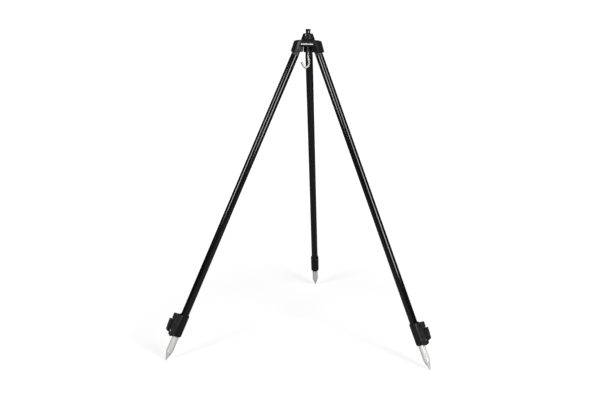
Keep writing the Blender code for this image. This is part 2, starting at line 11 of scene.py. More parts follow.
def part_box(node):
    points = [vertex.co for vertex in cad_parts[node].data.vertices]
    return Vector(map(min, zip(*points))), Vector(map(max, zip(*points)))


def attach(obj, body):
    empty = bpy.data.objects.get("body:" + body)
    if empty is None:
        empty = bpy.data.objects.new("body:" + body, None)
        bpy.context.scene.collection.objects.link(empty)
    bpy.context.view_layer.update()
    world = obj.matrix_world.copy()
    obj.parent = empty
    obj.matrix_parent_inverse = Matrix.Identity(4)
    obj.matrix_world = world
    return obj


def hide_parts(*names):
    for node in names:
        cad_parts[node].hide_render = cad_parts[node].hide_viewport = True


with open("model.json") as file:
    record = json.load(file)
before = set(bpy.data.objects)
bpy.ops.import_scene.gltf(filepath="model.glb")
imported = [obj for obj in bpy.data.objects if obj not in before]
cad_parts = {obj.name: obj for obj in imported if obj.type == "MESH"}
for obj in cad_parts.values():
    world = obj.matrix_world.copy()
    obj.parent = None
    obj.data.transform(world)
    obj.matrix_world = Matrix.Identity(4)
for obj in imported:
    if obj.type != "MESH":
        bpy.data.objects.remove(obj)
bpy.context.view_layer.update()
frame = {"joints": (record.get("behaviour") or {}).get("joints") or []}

# ---------------------------------------------------------------- places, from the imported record

SIDES = ("rear", "left", "right")
JOINTS = {joint["name"]: joint for joint in frame["joints"]}
GAP = 0.0003
POINT_RADIUS = 0.0008  # rounded end of the spike

HEAD_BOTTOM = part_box("head_body")[0].z
HEAD_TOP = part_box("top_boss")[0].z - GAP
HEAD_ROOF = HEAD_TOP - 0.0118  # underside of the head's top plate
SKIRT_BOTTOM = HEAD_BOTTOM + 0.0195
BOSS_TOP = JOINTS["hook_turn"]["pos_m"][2]
KNOB_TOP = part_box("hook_nut")[1].z
STEM_TOP = KNOB_TOP - 0.0040

PIVOT = Vector(JOINTS["leg_fold_right"]["pos_m"])
PIVOT_RADIUS = PIVOT.xy.length
PIVOT_HEIGHT = PIVOT.z
LEG_SPREAD = acos(-JOINTS["leg_slide_right"]["axis"][2])
LEG_LENGTH = (PIVOT_HEIGHT - POINT_RADIUS) / cos(LEG_SPREAD) + POINT_RADIUS


def leg_frame(side):
    """Origin at the fold bolt, -Z down the leg, +X outwards, +Y along the fold bolt."""
    down = Vector(JOINTS[f"leg_slide_{side}"]["axis"]).normalized()
    across = Vector(JOINTS[f"leg_fold_{side}"]["axis"]).normalized()
    out = across.cross(-down).normalized()
    turn = Matrix((out, across, -down)).transposed().to_4x4()
    return Matrix.Translation(JOINTS[f"leg_fold_{side}"]["pos_m"]) @ turn


def leg_azimuths():
    return [atan2(*Vector(JOINTS[f"leg_fold_{side}"]["pos_m"]).yx) for side in SIDES]


def foot(distance):
    """Z in the leg's frame of a place that far from the spike's point."""
    return distance - LEG_LENGTH


# ---------------------------------------------------------------- mesh helpers

SHARP_ANGLE = radians(38)  # edges that turn more than this stay crisp


def arc(centre, radius, start, end, steps):
    """Points on an arc, angles in degrees from the outline's first axis."""
    angles = [radians(start + (end - start) * i / steps) for i in range(steps + 1)]
    return [(centre[0] + radius * cos(a), centre[1] + radius * sin(a)) for a in angles]


def rounded(points, radius, steps=4, closed=True):
    """The outline with each corner turned into an arc, smaller where its sides are short."""
    made = []
    count = len(points)
    for i, point in enumerate(points):
        here = Vector(point)
        if not closed and i in (0, count - 1):
            made.append(tuple(here))
            continue
        back = Vector(points[i - 1]) - here
        ahead = Vector(points[(i + 1) % count]) - here
        turn = pi - back.angle(ahead)
        if turn < radians(11):
            made.append(tuple(here))
            continue
        reach = min(radius * tan(turn / 2), 0.45 * back.length, 0.45 * ahead.length)
        start = here + back.normalized() * reach
        end = here + ahead.normalized() * reach
        for step in range(steps + 1):
            t = step / steps
            made.append(tuple(start * (1 - t) ** 2 + here * 2 * t * (1 - t) + end * t ** 2))
    return made


def to_object(bm, name="tool"):
    bmesh.ops.remove_doubles(bm, verts=bm.verts, dist=1e-7)
    bmesh.ops.recalc_face_normals(bm, faces=bm.faces)
    mesh = bpy.data.meshes.new(name)
    bm.to_mesh(mesh)
    bm.free()
    obj = bpy.data.objects.new(name, mesh)
    bpy.context.scene.collection.objects.link(obj)
    return obj


def turned(outline, segments=96, edge=0.0, steps=3, turn=None):
    """A solid of revolution about Z from (radius, height) points, its corners rounded by edge."""
    open_ended = outline[0][0] == 0 and outline[-1][0] == 0
    if edge:
        outline = rounded(outline, edge, steps, closed=not open_ended)
    bm = bmesh.new()
    rings = []
    for radius, height in outline:
        if radius == 0:
            rings.append([bm.verts.new((0, 0, height))] * segments)
            continue
        angles = [2 * pi * i / segments for i in range(segments)]
        rings.append([bm.verts.new((radius * cos(a), radius * sin(a), height)) for a in angles])
    pairs = list(zip(rings, rings[1:]))
    if not open_ended:
        pairs.append((rings[-1], rings[0]))
    for low, high in pairs:
        for i in range(segments):
            j = (i + 1) % segments
            corners = list(dict.fromkeys((low[i], low[j], high[j], high[i])))
            if len(corners) > 2:
                bm.faces.new(corners)
    made = to_object(bm)
    if turn is not None:
        made.data.transform(turn)
    return made


def prism(outline, low, high, edge=0.0, axis="Y"):
    """An (x, z) outline along Y, or an (x, y) outline along Z, with its rims rounded by edge."""
    bm = bmesh.new()
    if axis == "Y":
        base = [bm.verts.new((a, low, b)) for a, b in outline]
        step = (0, high - low, 0)
    else:
        base = [bm.verts.new((a, b, low)) for a, b in outline]
        step = (0, 0, high - low)
    made = bmesh.ops.extrude_face_region(bm, geom=[bm.faces.new(base)])["geom"]
    bmesh.ops.translate(bm, verts=[v for v in made if isinstance(v, bmesh.types.BMVert)], vec=step)
    obj = to_object(bm)
    return soften(obj, edge) if edge else obj


def block(low, high, edge=0.0):
    bm = bmesh.new()
    size = Vector(high) - Vector(low)
    middle = (Vector(high) + Vector(low)) / 2
    placed = Matrix.Translation(middle) @ Matrix.Diagonal((*size, 1))
    bmesh.ops.create_cube(bm, size=1, matrix=placed)
    obj = to_object(bm)
    return soften(obj, edge) if edge else obj


def rod(start, end, radius, segments=48, edge=0.0):
    """A round or hexagonal bar between two points, its rims rounded by edge."""
    start, end = Vector(start), Vector(end)
    length = (end - start).length
    turn = (end - start).to_track_quat("Z", "Y").to_matrix().to_4x4()
    outline = [(0, 0), (radius, 0), (radius, length), (0, length)]
    return turned(outline, segments, edge, turn=Matrix.Translation(start) @ turn)


def boolean(target, operation, tools):
    for tool in tools:
        modifier = target.modifiers.new(operation.lower(), "BOOLEAN")
        modifier.operation = operation
        modifier.object = tool
        tool.hide_render = True
    return target


def cut(target, *tools):
    return boolean(target, "DIFFERENCE", tools)


def join(target, *tools):
    return boolean(target, "UNION", tools)


def common(target, *tools):
    return boolean(target, "INTERSECT", tools)


def soften(target, width, segments=3, angle=50):
    modifier = target.modifiers.new("bevel", "BEVEL")
    modifier.width = width
    modifier.segments = segments
    modifier.limit_method = "ANGLE"
    modifier.angle_limit = radians(angle)
    modifier.miter_outer = "MITER_ARC"
    return target


def baked(target):
    """The finished mesh of a modelled piece, with its tools and itself taken away."""
    bpy.context.view_layer.update()
    graph = bpy.context.evaluated_depsgraph_get()
    mesh = bpy.data.meshes.new_from_object(target.evaluated_get(graph))
    waste = [target]
    for piece in waste:
        waste += [m.object for m in piece.modifiers if m.type == "BOOLEAN"]
    for piece in waste:
        bpy.data.objects.remove(piece)
    mesh.materials.clear()
    mesh.shade_smooth()
    mesh.set_sharp_from_angle(angle=SHARP_ANGLE)
    return mesh


def merged(*meshes):
    """One mesh from several that stay separate shells of one piece."""
    bm = bmesh.new()
    for mesh in meshes:
        bm.from_mesh(mesh)
    made = bpy.data.meshes.new("merged")
    bm.to_mesh(made)
    bm.free()
    made.shade_smooth()
    made.set_sharp_from_angle(angle=SHARP_ANGLE)
    return made


def around(make, azimuths):
    """One tool from make() for each azimuth, turned there from the +X side."""
    tools = []
    for azimuth in azimuths:
        tool = make()
        tool.matrix_world = Matrix.Rotation(azimuth, 4, "Z")
        tools.append(tool)
    return tools


# ---------------------------------------------------------------- materials


class Look:
    """A material put together node by node, on the piece's own coordinates in metres."""

    def __init__(self, name, metallic=0.0):
        self.material = bpy.data.materials.new(name)
        self.material.use_nodes = True
        self.tree = self.material.node_tree
        self.shader = self.tree.nodes["Principled BSDF"]
        self.shader.inputs["Metallic"].default_value = metallic
        self.shader.inputs["IOR"].default_value = 1.5
        self.place = self.add("TexCoord").outputs["Object"]

    def add(self, kind, settings=(), inputs=()):
        node = self.tree.nodes.new("ShaderNode" + kind)
        for key, value in dict(settings).items():
            setattr(node, key, value)
        for key, value in dict(inputs).items():
            self.feed(node.inputs[key], value)
        return node

    def feed(self, socket, value):
        if isinstance(value, bpy.types.NodeSocket):
            self.tree.links.new(value, socket)
        else:
            socket.default_value = value

    def math(self, operation, a, b=0.0):
        settings = {"operation": operation}
        return self.add("Math", settings, {0: a, 1: b}).outputs[0]

    def scaled(self, factors):
        """The piece's coordinates stretched by a factor along each axis."""
        node = self.add("VectorMath", {"operation": "MULTIPLY"}, {0: self.place, 1: factors})
        return node.outputs[0]

    def noise(self, scale, detail=3.0, stretch=None, warp=0.0):
        where = self.scaled(stretch) if stretch else self.place
        node = self.add("TexNoise", (), {
            "Vector": where, "Scale": scale, "Detail": detail, "Roughness": 0.55,
            "Distortion": warp,
        })
        return node.outputs[0]

    def cells(self, scale):
        node = self.add("TexVoronoi", {"feature": "SMOOTH_F1"}, {
            "Vector": self.place, "Scale": scale, "Smoothness": 0.6,
        })
        return node.outputs["Distance"]

    def remap(self, value, low, high, to_low=0.0, to_high=1.0):
        node = self.add("MapRange", {"interpolation_type": "SMOOTHSTEP"}, {
            "Value": value, "From Min": low, "From Max": high, "To Min": to_low,
            "To Max": to_high,
        })
        return node.outputs[0]

    def hairlines(self, scale, width, stretch=None, warp=0.4):
        """1 on thin wandering lines and 0 elsewhere."""
        field = self.noise(scale, 1.5, stretch, warp=warp)
        away = self.math("ABSOLUTE", self.math("SUBTRACT", field, 0.5))
        return self.remap(away, 0.0, width, 1.0, 0.0)

    def worn_edges(self, low=0.515, high=0.57):
        """1 on convex edges, broken up by noise."""
        sharp = self.add("NewGeometry").outputs["Pointiness"]
        broken = self.remap(self.noise(260, 5), 0.35, 0.7)
        return self.math("MULTIPLY", self.remap(sharp, low, high), broken)

    def mix(self, factor, a, b):
        a = (*a, 1) if isinstance(a, tuple) else a
        b = (*b, 1) if isinstance(b, tuple) else b
        node = self.add("Mix", {"data_type": "RGBA"}, {0: factor, 6: a, 7: b})
        return node.outputs[2]

    def along(self, low, high):
        """0 to 1 between two heights in the piece's own frame."""
        height = self.add("SeparateXYZ", (), {0: self.place}).outputs["Z"]
        return self.remap(height, low, high)

    def bump(self, height, depth, strength, below=None):
        inputs = {"Height": height, "Distance": depth, "Strength": strength}
        if below is not None:
            inputs["Normal"] = below
        return self.add("Bump", (), inputs).outputs[0]

    def finish(self, colour, roughness, normal):
        self.feed(self.shader.inputs["Base Color"], colour)
        self.feed(self.shader.inputs["Roughness"], roughness)
        self.feed(self.shader.inputs["Normal"], normal)
        return self.material


def moulded_look(name, dark, light, rough, grain=2400, worn=0.07, specular=0.45):
    """Satin moulded plastic: eroded grain, cloudy tone, rubbed edges and hairline scuffs."""
    look = Look(name)
    look.shader.inputs["Specular IOR Level"].default_value = specular
    pits = look.noise(grain, 4)
    cells = look.cells(grain * 0.6)
    cloud = look.remap(look.noise(38, 5), 0.3, 0.7)
    edges = look.worn_edges()
    scuffs = look.math("MULTIPLY", look.hairlines(90, 0.006), look.remap(look.noise(25), 0.5, 0.65))
    base = look.mix(cloud, dark, light)
    base = look.mix(look.math("MULTIPLY", edges, 0.55), base, (worn, worn, worn * 1.02))
    base = look.mix(look.math("MULTIPLY", scuffs, 0.35), base, (0.12, 0.12, 0.12))
    roughness = look.remap(look.math("ADD", look.math("MULTIPLY", pits, 0.6),
                                     look.math("MULTIPLY", cloud, 0.4)),
                           0.25, 0.75, rough - 0.03, rough + 0.04)
    roughness = look.math("SUBTRACT", roughness, look.math("MULTIPLY", edges, 0.10))
    normal = look.bump(cells, 0.00004, 0.30, look.bump(pits, 0.00003, 0.35))
    return look.finish(base, roughness, normal)


def enamel_look():
    """Gloss black paint on a tube: slight orange peel, rubbed streaks and a few fine scratches."""
    look = Look("gloss_enamel")
    peel = look.noise(620, 2)
    cloud = look.remap(look.noise(9, 4, (1, 1, 0.25)), 0.35, 0.65)
    rubbed = look.remap(look.noise(700, 3, (1, 1, 0.012)), 0.5, 0.72)
    lines = look.hairlines(60, 0.0022, (1, 1, 0.5), 0.8)
    lines = look.math("MULTIPLY", lines, look.remap(look.noise(14), 0.52, 0.62))
    specks = look.remap(look.noise(1900, 1), 0.74, 0.80)
    base = look.mix(cloud, (0.0026, 0.0026, 0.0030), (0.0042, 0.0042, 0.0047))
    base = look.mix(look.math("MULTIPLY", lines, 0.5), base, (0.05, 0.05, 0.05))
    base = look.mix(look.math("MULTIPLY", specks, 0.4), base, (0.03, 0.03, 0.03))
    roughness = look.remap(cloud, 0, 1, 0.10, 0.135)
    roughness = look.math("ADD", roughness, look.math("MULTIPLY", rubbed, 0.05))
    roughness = look.math("ADD", roughness, look.math("MULTIPLY", lines, 0.15))
    normal = look.bump(peel, 0.00001, 0.12)
    return look.finish(base, roughness, normal)


def drawn_look():
    """Satin anodised tube: fine lengthwise drawing lines and faint rings where the clamp slid."""
    look = Look("anodised_tube", metallic=0.3)
    drawn = look.noise(4200, 3, (1, 1, 0.006))
    rings = look.remap(look.noise(420, 3, (0.01, 0.01, 1)), 0.55, 0.7)
    cloud = look.remap(look.noise(30, 4), 0.3, 0.7)
    nicks = look.math("MULTIPLY", look.hairlines(160, 0.004), look.remap(look.noise(60), 0.55, 0.7))
    base = look.mix(drawn, (0.90, 0.90, 0.88), (0.95, 0.95, 0.93))
    base = look.mix(look.math("MULTIPLY", cloud, 0.25), base, (0.78, 0.78, 0.76))
    base = look.mix(look.math("MULTIPLY", rings, 0.12), base, (0.50, 0.50, 0.50))
    base = look.mix(look.math("MULTIPLY", nicks, 0.3), base, (0.42, 0.42, 0.42))
    roughness = look.remap(drawn, 0.3, 0.7, 0.44, 0.56)
    roughness = look.math("SUBTRACT", roughness, look.math("MULTIPLY", rings, 0.06))
    normal = look.bump(drawn, 0.000005, 0.4, look.bump(rings, 0.00001, 0.3))
    return look.finish(base, roughness, normal)


def turned_look():
    """Turned steel: tight tool rings, a dull patina and soil stains that thicken to the point."""
    look = Look("turned_steel", metallic=0.35)
    rings = look.noise(6500, 2, (0.015, 0.015, 1))
    cloud = look.remap(look.noise(140, 5), 0.3, 0.7)
    low = look.along(foot(0.0), foot(0.026))
    dark_patches = look.math("MULTIPLY", look.remap(look.noise(300, 6), 0.45, 0.62),
                      look.math("SUBTRACT", 1.0, low))
    base = look.mix(cloud, (0.86, 0.86, 0.84), (0.94, 0.94, 0.92))
    base = look.mix(look.math("MULTIPLY", dark_patches, 0.35), base, (0.42, 0.40, 0.37))
    roughness = look.remap(rings, 0.3, 0.7, 0.36, 0.48)
    roughness = look.math("ADD", roughness, look.math("MULTIPLY", dark_patches, 0.2))
    normal = look.bump(rings, 0.000006, 0.5)
    return look.finish(base, roughness, normal)


def bright_look():
    """Small bright steel pieces: brushed, with tiny pits."""
    look = Look("bright_steel", metallic=1.0)
    brushed = look.noise(2200, 4)
    cloud = look.remap(look.noise(350, 4), 0.3, 0.7)
    edges = look.worn_edges()
    base = look.mix(cloud, (0.62, 0.62, 0.61), (0.76, 0.76, 0.75))
    base = look.mix(look.math("MULTIPLY", edges, 0.3), base, (0.85, 0.85, 0.84))
    roughness = look.remap(brushed, 0.3, 0.7, 0.20, 0.33)
    normal = look.bump(brushed, 0.00001, 0.4)
    return look.finish(base, roughness, normal)


def hook_look():
    """Polished rod: lengthwise polishing lines, darker and rougher in mottled patches towards the
    bottom of the hook.
    """
    look = Look("polished_rod", metallic=0.75)
    polish = look.noise(3600, 3, (1, 1, 0.03))
    cloud = look.remap(look.noise(170, 5), 0.32, 0.68)
    low = look.math("SUBTRACT", 1.0, look.along(-0.106, -0.090))
    # mottled patches, darker and rougher, over the bend and the bottom of the hook
    dark_patches = look.math("MULTIPLY", look.remap(look.noise(220, 5), 0.30, 0.70), low)
    base = look.mix(cloud, (0.64, 0.63, 0.60), (0.74, 0.73, 0.70))
    base = look.mix(look.math("MULTIPLY", dark_patches, 0.6), base, (0.30, 0.29, 0.26))
    roughness = look.remap(polish, 0.3, 0.7, 0.50, 0.58)
    roughness = look.math("ADD", roughness, look.math("MULTIPLY", dark_patches, 0.18))
    normal = look.bump(polish, 0.000002, 0.2)
    return look.finish(base, roughness, normal)


def black_steel_look():
    """Black-oxide fasteners, rubbed to bare steel on their edges."""
    look = Look("black_oxide", metallic=1.0)
    cloud = look.remap(look.noise(420, 5), 0.3, 0.7)
    grain = look.noise(3200, 3)
    edges = look.worn_edges(0.52, 0.60)
    base = look.mix(cloud, (0.030, 0.030, 0.033), (0.060, 0.059, 0.060))
    base = look.mix(look.math("MULTIPLY", edges, 0.6), base, (0.34, 0.33, 0.32))
    roughness = look.remap(grain, 0.3, 0.7, 0.26, 0.42)
    normal = look.bump(grain, 0.00001, 0.4)
    return look.finish(base, roughness, normal)


def print_look():
    """Thick white ink: slightly uneven, thin in places."""
    look = Look("white_print")
    cloud = look.remap(look.noise(420, 5), 0.3, 0.7)
    thin = look.remap(look.noise(1300, 4), 0.62, 0.74)
    base = look.mix(cloud, (0.66, 0.66, 0.66), (0.76, 0.76, 0.755))
    base = look.mix(look.math("MULTIPLY", thin, 0.3), base, (0.35, 0.35, 0.35))
    roughness = look.remap(cloud, 0, 1, 0.42, 0.55)
    return look.finish(base, roughness, look.bump(cloud, 0.00001, 0.5))


BLACK_MOULDING = ((0.0050, 0.0050, 0.0055), (0.0080, 0.0080, 0.0086))

# look name: material, export slot
LOOKS = {
    "head": (moulded_look("head_moulding", *BLACK_MOULDING, 0.46, specular=0.22), "moulding"),
    "clamp": (moulded_look("clamp_moulding", *BLACK_MOULDING, 0.32, specular=0.38), "moulding"),
    "knuckle": (moulded_look("knuckle_moulding", (0.0220, 0.0220, 0.0228), (0.0340, 0.0340, 0.0348),
                             0.50), "moulding"),
    "enamel": (enamel_look(), "enamel"),
    "drawn": (drawn_look(), "anodised"),
    "turned": (turned_look(), "turned_steel"),
    "bright": (bright_look(), "turned_steel"),
    "hook": (hook_look(), "stainless"),
    "black": (black_steel_look(), "fastener"),
    "nylon": (moulded_look("nylon_bearing", (0.040, 0.040, 0.043), (0.062, 0.062, 0.066), 0.50,
                           grain=1500), "nylon"),
    "rubber": (moulded_look("brake_rubber", (0.016, 0.016, 0.016), (0.026, 0.026, 0.026), 0.72,
                            grain=900, worn=0.04), "rubber"),
    "print": (print_look(), "label"),
}


def show(name, mesh, look, body, nodes, where=None):
    """Links a piece, gives it its looks and lets it ride on its body in place of CAD nodes."""
    obj = bpy.data.objects.new(name, mesh)
    bpy.context.scene.collection.objects.link(obj)
    if where is not None:
        obj.matrix_world = where
    material, slot = LOOKS[look]
    if not mesh.materials:
        mesh.materials.append(material)
    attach(obj, body)
    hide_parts(*nodes)
    return obj


# ---------------------------------------------------------------- head

CLEVIS_HALF = 0.0129
LOBE_HALF = 0.0179
KNUCKLE_RADIUS = 0.0095
PIVOT_BOLT_RADIUS = 0.0030
PANEL_APOTHEM = 0.0385
PANEL_BOW = 0.120
PANEL_ARC = 14
PANEL_AZIMUTHS = [azimuth + pi for azimuth in leg_azimuths()]
CAVITY_RADIUS = 0.0335
BUSH_RADIUS = 0.0075
# (radius, height) where the dome turns down at the rim, and the waist of the cone on top
DOME_RIM = ((0.0402, 1.0902), (0.0375, 1.0935), (0.0330, 1.0956))
BOSS_WAIST = ((0.0186, 1.1140), (0.0178, 1.1160))
ABOVE_ALL = 1.2  # any height above the whole tripod


def lobe():
    side = [
        (0.0200, 0.0007 + HEAD_ROOF), (0.0200, HEAD_TOP - 0.0006), (0.0360, HEAD_TOP - 0.0020),
        (0.0440, HEAD_TOP - 0.0042), (0.0470, HEAD_TOP - 0.0078), (0.0580, HEAD_BOTTOM + 0.0035),
        (0.0572, HEAD_BOTTOM), (0.0285, HEAD_BOTTOM), (0.0255, HEAD_BOTTOM + 0.0030),
        (0.0250, SKIRT_BOTTOM), (0.0280, 0.0007 + HEAD_ROOF),
    ]
    return prism(rounded(side, 0.0045, 6), -LOBE_HALF, LOBE_HALF, 0.0013)


def knuckle_slot():
    clear = KNUCKLE_RADIUS + 0.0004
    crown = arc((PIVOT_RADIUS, PIVOT_HEIGHT), clear, 90, degrees(LEG_SPREAD), 16)
    down, inside = 0.030, 0.0215
    end = (crown[-1][0] + down * sin(LEG_SPREAD), crown[-1][1] - down * cos(LEG_SPREAD))
    side = [(inside, end[1]), (inside, PIVOT_HEIGHT + clear), *crown, end]
    return prism(side, -CLEVIS_HALF, CLEVIS_HALF)


def pivot_hole():
    fit, far = PIVOT_BOLT_RADIUS + GAP, 0.03
    head_seat, nut_seat = 0.0159, -0.0148
    turn = Matrix.Translation((PIVOT_RADIUS, 0, PIVOT_HEIGHT)) @ Matrix.Rotation(-pi / 2, 4, "X")
    return turned([
        (0, -far), (0.0064, -far), (0.0064, nut_seat), (fit, nut_seat), (fit, head_seat),
        (0.0056, head_seat), (0.0056, far), (0, far),
    ], 48, turn=turn)


def head_rib():
    """A web under the roof, from the bush to a skirt panel."""
    return block((0.0098, -0.0011, HEAD_ROOF - 0.0085), (0.0350, 0.0011, HEAD_ROOF + 0.001))


def head_shell():
    plan = []
    for azimuth in PANEL_AZIMUTHS:
        back = PANEL_APOTHEM - PANEL_BOW
        centre = (back * cos(azimuth), back * sin(azimuth))
        middle = degrees(azimuth)
        plan += arc(centre, PANEL_BOW, middle - PANEL_ARC, middle + PANEL_ARC, 20)
    hub = prism(plan, SKIRT_BOTTOM, HEAD_TOP + 0.001, axis="Z")
    dome = turned([
        (0, SKIRT_BOTTOM - 0.01), (0.060, SKIRT_BOTTOM - 0.01), (0.060, SKIRT_BOTTOM + 0.006),
        *DOME_RIM, (0.0235, HEAD_TOP), (0, HEAD_TOP),
    ], 144, 0.004, 4)
    cavity = turned([
        (0, HEAD_BOTTOM), (CAVITY_RADIUS, HEAD_BOTTOM), (CAVITY_RADIUS, HEAD_ROOF), (0, HEAD_ROOF),
    ], 120, 0.0025)
    azimuths = leg_azimuths()
    hollow = cut(common(hub, dome), cavity)
    solid = join(hollow, *around(head_rib, PANEL_AZIMUTHS), *around(lobe, azimuths))
    tools = [*around(knuckle_slot, azimuths), *around(pivot_hole, azimuths)]
    bore = rod((0, 0, HEAD_BOTTOM), (0, 0, ABOVE_ALL), 0.0107, 64)
    seat = rod((0, 0, HEAD_ROOF - GAP), (0, 0, ABOVE_ALL), BUSH_RADIUS + GAP, 64)
    bore.data.transform(Matrix.Translation((0, 0, HEAD_ROOF - ABOVE_ALL)))
    return baked(soften(cut(solid, *tools, bore, seat), 0.00035, 2, 38))


BOSS_SCREW_AZIMUTH = radians(-114)
BOSS_SCREW_HEIGHT = BOSS_TOP - 0.0067


def boss_screw_at(radius):
    return (radius * cos(BOSS_SCREW_AZIMUTH), radius * sin(BOSS_SCREW_AZIMUTH), BOSS_SCREW_HEIGHT)


def boss():
    cone = turned([
        (BUSH_RADIUS + GAP, HEAD_TOP + GAP), (0.0240, HEAD_TOP + GAP), (0.0240, HEAD_TOP + 0.0020),
        *BOSS_WAIST, (0.0156, BOSS_TOP), (BUSH_RADIUS + GAP, BOSS_TOP),
    ], 128, 0.0009, 4)
    hole = rod(boss_screw_at(0.002), boss_screw_at(0.03), 0.0023, 40)
    return baked(soften(cut(cone, hole), 0.0002, 2))


def boss_screw():
    body = rod(boss_screw_at(BUSH_RADIUS + 2 * GAP), boss_screw_at(0.0193), 0.0020, 40, 0.0004)
    socket = rod(boss_screw_at(0.0173), boss_screw_at(0.03), 0.0011, 6)
    return baked(soften(cut(body, socket), 0.0001, 2))


def bush():
    return baked(turned([
        (0.0043, HEAD_ROOF - 0.0022), (0.0105, HEAD_ROOF - 0.0022), (0.0105, HEAD_ROOF - GAP),
        (BUSH_RADIUS, HEAD_ROOF - GAP), (BUSH_RADIUS, BOSS_TOP), (0.0043, BOSS_TOP),
    ], 72, 0.0003))


def label():
    """A blank printed strip with rounded ends, on the front panel's curve."""
    inner, outer = PANEL_BOW + GAP, PANEL_BOW + GAP + 0.0004
    low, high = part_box("label_plate")[0].z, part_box("label_plate")[1].z
    half_height, half_arc = (high - low) / 2, radians(10.4)
    columns, round_part = 64, half_height / PANEL_BOW
    bm = bmesh.new()
    rows = []
    for i in range(columns + 1):
        angle = -half_arc + 2 * half_arc * i / columns
        into = (half_arc - abs(angle)) / round_part
        share = sqrt(max(0.0, 1 - (1 - into) ** 2)) if into < 1 else 1.0
        reach = max(half_height * share, 0.0002)
        side = Vector((sin(angle), -cos(angle), 0))
        middle = Vector((0, PANEL_BOW - PANEL_APOTHEM, (low + high) / 2))
        rows.append([
            bm.verts.new(middle + side * radius + Vector((0, 0, step * reach)))
            for radius, step in ((inner, -1), (outer, -0.93), (outer, 0.93), (inner, 1))
        ])
    for left, right in zip(rows, rows[1:]):
        for i in range(4):
            j = (i + 1) % 4
            bm.faces.new((left[i], right[i], right[j], left[j]))
    bm.faces.new(rows[0])
    bm.faces.new(rows[-1])
    return baked(to_object(bm))


def show_head():
    show("head_shell", head_shell(), "head", "root", ["head_body"])
    show("boss_cone", boss(), "head", "root", ["top_boss"])
    show("boss_set_screw", boss_screw(), "bright", "root", ["boss_screw"])
    show("bearing_bush", bush(), "nylon", "root", ["hook_bush"])
    show("blank_label", label(), "print", "root", ["label_plate"])


# ---------------------------------------------------------------- hook and its nut

HOOK_ROD_RADIUS = 0.0040
NUT_PIN_AZIMUTH = radians(-63)
NUT_PIN_HEIGHT = BOSS_TOP + 0.0054


def hook_rod():
    curve = bpy.data.curves.new("bent_rod", "CURVE")
    curve.dimensions = "3D"
    curve.bevel_depth = HOOK_ROD_RADIUS
    curve.bevel_resolution = 10
    curve.use_fill_caps = True
    line = curve.splines.new("BEZIER")
    line.resolution_u = 28
    # (x, z), direction of travel in degrees from +X, handle length
    bends = [
        ((0.0000, STEM_TOP), -90, 0.010),
        ((0.0004, 1.0500), -88, 0.012),
        ((0.0046, 1.0155), -92, 0.0075),
        ((-0.0068, 1.0010), 182, 0.0055),
        ((-0.0222, 1.0203), 117, 0.0100),
    ]
    line.bezier_points.add(len(bends) - 1)
    for point, ((x, z), heading, reach) in zip(line.bezier_points, bends):
        step = Vector((cos(radians(heading)), 0, sin(radians(heading)))) * reach
        point.co = (x, 0, z)
        point.handle_left_type = point.handle_right_type = "FREE"
        point.handle_left = point.co - step
        point.handle_right = point.co + step
    bent = bpy.data.objects.new("bent_rod", curve)
    bpy.context.scene.collection.objects.link(bent)
    graph = bpy.context.evaluated_depsgraph_get()
    bm = bmesh.new()
    bm.from_mesh(bpy.data.meshes.new_from_object(bent.evaluated_get(graph)))
    bmesh.ops.remove_doubles(bm, verts=bm.verts, dist=1e-6)
    bpy.data.objects.remove(bent)
    return baked(soften(to_object(bm), 0.0011, 4, 60))


def stem_thread():
    """Thread ridges below the lock nut, in rings."""
    top, pitch, count = HEAD_ROOF - 0.0090, 0.0010, 9
    outline = [(0, top + 0.0003)]
    for i in range(count):
        z = top - pitch * i
        outline += [(0.00398, z), (0.00418, z - 0.0004), (0.00398, z - 0.0008)]
    outline.append((0, top - pitch * count))
    return baked(turned(outline, 48))


def knob():
    """Waisted cap nut, its top rim flared."""
    blind = STEM_TOP + 0.0006
    nut = turned([
        (0, KNOB_TOP), (0.0081, KNOB_TOP), (0.0089, KNOB_TOP - 0.0015), (0.0088, KNOB_TOP - 0.0050),
        (0.0081, KNOB_TOP - 0.0085), (0.0081, BOSS_TOP + 0.0014), (0.0043, BOSS_TOP + 0.0014),
        (0.0043, blind), (0, blind),
    ], 96, 0.0005, 3)
    pin_hole = pin_rod(0.012, 0.0012)
    return baked(soften(cut(nut, pin_hole), 0.00015, 2))


def pin_rod(half_length, radius, edge=0.0):
    side = Vector((cos(NUT_PIN_AZIMUTH), sin(NUT_PIN_AZIMUTH), 0)) * half_length
    middle = Vector((0, 0, NUT_PIN_HEIGHT))
    return rod(middle - side, middle + side, radius, 32, edge)


def hex_nut(start, end, radius, bore):
    """A hexagon nut with turned corners and a countersunk bore, along start to end."""
    start, end = Vector(start), Vector(end)
    length = (end - start).length
    turn = Matrix.Translation(start) @ (end - start).to_track_quat("Z", "Y").to_matrix().to_4x4()
    flat = radius * cos(radians(30))
    rim = min(0.18 * length, radius - flat)
    sink, flare = 0.0006, 0.0010
    hexagon = turned([(0, 0), (radius, 0), (radius, length), (0, length)], 6)
    corners = turned([
        (0, 0), (flat * 0.97, 0), (radius, rim), (radius, length - rim), (flat * 0.97, length),
        (0, length),
    ], 72)
    hole = turned([
        (0, -0.001), (bore + flare, -0.001), (bore, sink), (bore, length - sink),
        (bore + flare, length + 0.001), (0, length + 0.001),
    ], 48)
    made = baked(soften(cut(common(hexagon, corners), hole), 0.0001, 2))
    made.transform(turn)
    return made


